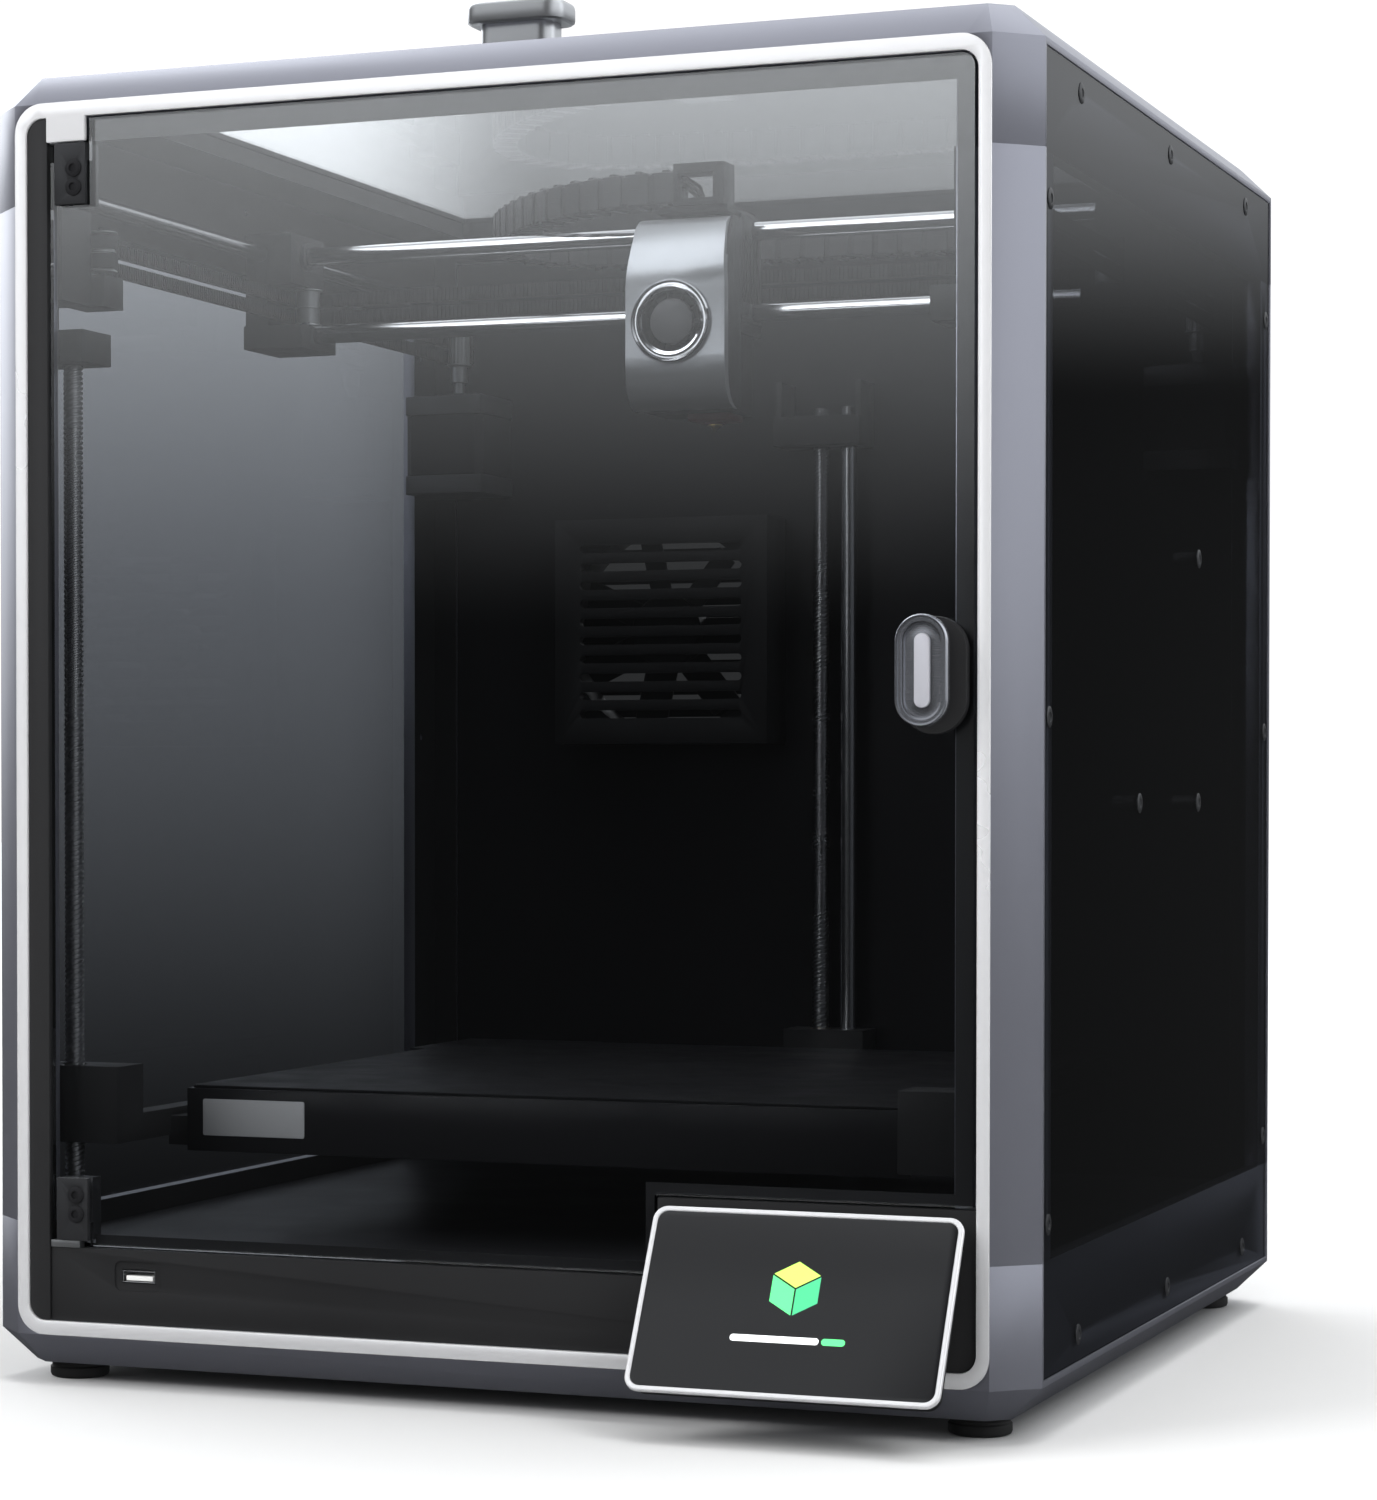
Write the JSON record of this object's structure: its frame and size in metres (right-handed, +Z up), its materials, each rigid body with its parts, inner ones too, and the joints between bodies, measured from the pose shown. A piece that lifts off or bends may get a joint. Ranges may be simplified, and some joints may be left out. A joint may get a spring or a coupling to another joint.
{
  "type": "enclosed fdm printer",
  "caption": "Enclosed desktop FDM printer: glass door on the left hinge, lift-off lid, moving gantry and tool head, bed on lead screws, tilted touch screen.",
  "frame": {"origin": "middle of the footprint of the whole machine, on the floor", "axes": "+X to the right seen from the front, +Y to the back, +Z up"},
  "size_m": [0.435, 0.48, 0.546],
  "materials": {
    "sheet_black": "satin",
    "frame_paint": "satin",
    "bright_trim": "satin",
    "black_steel": "satin",
    "black_plastic": "matte",
    "smoked_panel": "polished",
    "door_glass": "polished",
    "lid_glass": "polished",
    "silver": "satin",
    "rod_steel": "polished",
    "rubber": "matte",
    "belt_rubber": "matte",
    "chrome": "polished",
    "brass": "satin",
    "screen": "polished",
    "aluminium": "satin"
  },
  "bodies": {
    "chassis": {"base_frame": "frame_paint", "bottom_cover": "sheet_black", "chamber_floor": "sheet_black", "chamber_light": "black_plastic", "corner_columns": "frame_paint", "drag_chain": "black_plastic", "drive_belts": "belt_rubber", "electronics": "black_plastic", "feet": "rubber", "front_trim": "bright_trim", "guide_rods": "rod_steel", "hinge_pivots": "silver", "hinge_strip": "black_plastic", "lower_fascia": "black_plastic", "panel_screws": "black_steel", "power_inlet": "black_plastic", "rear_fan_housing": "black_plastic", "rear_panel": "sheet_black", "rod_brackets": "black_plastic", "screen_bezel": "silver", "screen_glass": "screen", "screen_housing": "black_plastic", "side_panels": "smoked_panel", "stepper_motors": "black_steel", "top_frame": "frame_paint", "usb_port": "chrome"},
    "door": {"door_glass": "door_glass", "hinge_clamps": "black_plastic", "hinge_screws": "black_steel", "handle_base": "black_plastic", "door_handle": "silver"},
    "lid": {"lid_glass": "lid_glass", "lid_gasket": "rubber", "lid_knob": "silver"},
    "gantry": {"carriage_left": "black_plastic", "carriage_right": "black_plastic", "x_rods": "rod_steel", "cross_belts": "belt_rubber"},
    "toolhead": {"tool_carriage": "black_plastic", "toolhead_cover": "silver", "fan_ring": "chrome", "extruder_hotend": "brass"},
    "tool_fan": {"tool_fan_rotor": "black_plastic"},
    "bed": {"bed_frame": "black_plastic", "screw_nuts": "brass", "heated_plate": "aluminium", "bed_fascia": "black_steel", "build_plate": "black_steel"},
    "rear_fan": {"rear_fan_rotor": "black_plastic"},
    "switch_rocker": {"power_switch": "black_plastic"},
    "z_drive_pulley": {"z_motor_pulley": "aluminium"},
    "front_idler_left_body": {"front_idler_left": "aluminium"},
    "front_idler_right_body": {"front_idler_right": "aluminium"},
    "gantry_idler_left_body": {"gantry_idler_left": "aluminium"},
    "gantry_idler_right_body": {"gantry_idler_right": "aluminium"},
    "lead_screw_left_body": {"lead_screw_left": "rod_steel"},
    "lead_screw_rear_body": {"lead_screw_rear": "rod_steel"},
    "lead_screw_right_body": {"lead_screw_right": "rod_steel"},
    "motor_pulley_left_body": {"motor_pulley_left": "aluminium"},
    "motor_pulley_right_body": {"motor_pulley_right": "aluminium"}
  },
  "joints": [
    {"name": "door_hinge", "type": "hinge", "parent": "chassis", "child": "door", "pos_m": [-0.18, -0.197, 0.28], "axis": [0, 0, -1], "range_deg": [0, 120]},
    {"name": "lid_lift", "type": "slide", "parent": "chassis", "child": "lid", "axis": [0, 0, 1], "range_m": [0, 0.06]},
    {"name": "gantry_y", "type": "slide", "parent": "chassis", "child": "gantry", "axis": [0, 1, 0], "range_m": [-0.15, 0.15], "deforming": ["drag_chain"]},
    {"name": "toolhead_x", "type": "slide", "parent": "gantry", "child": "toolhead", "axis": [1, 0, 0], "range_m": [-0.164, 0.136], "deforming": ["drag_chain"]},
    {"name": "bed_z", "type": "slide", "parent": "chassis", "child": "bed", "axis": [0, 0, 1], "range_m": [-0.024, 0.276]},
    {"name": "tool_fan_spin", "type": "hinge", "parent": "toolhead", "child": "tool_fan", "pos_m": [0.009, -0.009, 0.439], "axis": [0, -1, 0], "continuous": true},
    {"name": "rear_fan_spin", "type": "hinge", "parent": "chassis", "child": "rear_fan", "pos_m": [-0.076, 0.22, 0.317], "axis": [0, 1, 0], "continuous": true},
    {"name": "switch_rock", "type": "hinge", "parent": "chassis", "child": "switch_rocker", "pos_m": [0.154, 0.233, 0.04], "axis": [1, 0, 0], "range_deg": [0, 14]},
    {"name": "lead_screw_spin_left", "type": "hinge", "parent": "chassis", "child": "lead_screw_left_body", "pos_m": [-0.188, -0.176, 0.2], "axis": [0, 0, 1], "continuous": true},
    {"name": "lead_screw_spin_right", "type": "hinge", "parent": "chassis", "child": "lead_screw_right_body", "pos_m": [0.188, -0.176, 0.2], "axis": [0, 0, 1], "continuous": true},
    {"name": "lead_screw_spin_rear", "type": "hinge", "parent": "chassis", "child": "lead_screw_rear_body", "pos_m": [0.001, 0.222, 0.2], "axis": [0, 0, 1], "continuous": true},
    {"name": "z_pulley_spin", "type": "hinge", "parent": "chassis", "child": "z_drive_pulley", "pos_m": [-0.06, 0.13, 0.048], "axis": [0, 0, 1], "continuous": true},
    {"name": "front_idler_spin_left", "type": "hinge", "parent": "chassis", "child": "front_idler_left_body", "pos_m": [-0.1845, -0.158, 0.459], "axis": [0, 0, 1], "continuous": true},
    {"name": "motor_pulley_spin_left", "type": "hinge", "parent": "chassis", "child": "motor_pulley_left_body", "pos_m": [-0.1845, 0.21, 0.459], "axis": [0, 0, 1], "continuous": true},
    {"name": "gantry_idler_spin_left", "type": "hinge", "parent": "gantry", "child": "gantry_idler_left_body", "pos_m": [-0.1845, 0.0365, 0.459], "axis": [0, 0, 1], "continuous": true},
    {"name": "front_idler_spin_right", "type": "hinge", "parent": "chassis", "child": "front_idler_right_body", "pos_m": [0.1845, -0.158, 0.459], "axis": [0, 0, 1], "continuous": true},
    {"name": "motor_pulley_spin_right", "type": "hinge", "parent": "chassis", "child": "motor_pulley_right_body", "pos_m": [0.1845, 0.21, 0.459], "axis": [0, 0, 1], "continuous": true},
    {"name": "gantry_idler_spin_right", "type": "hinge", "parent": "gantry", "child": "gantry_idler_right_body", "pos_m": [0.1845, 0.0365, 0.459], "axis": [0, 0, 1], "continuous": true}
  ],
  "couplings": [
    {"joint": "lead_screw_spin_left", "follows": "bed_z", "rad_per_m": 785.4},
    {"joint": "lead_screw_spin_right", "follows": "bed_z", "rad_per_m": 785.4},
    {"joint": "lead_screw_spin_rear", "follows": "bed_z", "rad_per_m": 785.4},
    {"joint": "z_pulley_spin", "follows": "bed_z", "rad_per_m": 785.4},
    {"joint": "front_idler_spin_left", "follows": "gantry_y", "rad_per_m": -166.67},
    {"joint": "motor_pulley_spin_left", "follows": "gantry_y", "rad_per_m": -166.67},
    {"joint": "gantry_idler_spin_left", "follows": "toolhead_x", "rad_per_m": -166.67},
    {"joint": "front_idler_spin_right", "follows": "gantry_y", "rad_per_m": 166.67},
    {"joint": "motor_pulley_spin_right", "follows": "gantry_y", "rad_per_m": 166.67},
    {"joint": "gantry_idler_spin_right", "follows": "toolhead_x", "rad_per_m": 166.67}
  ]
}
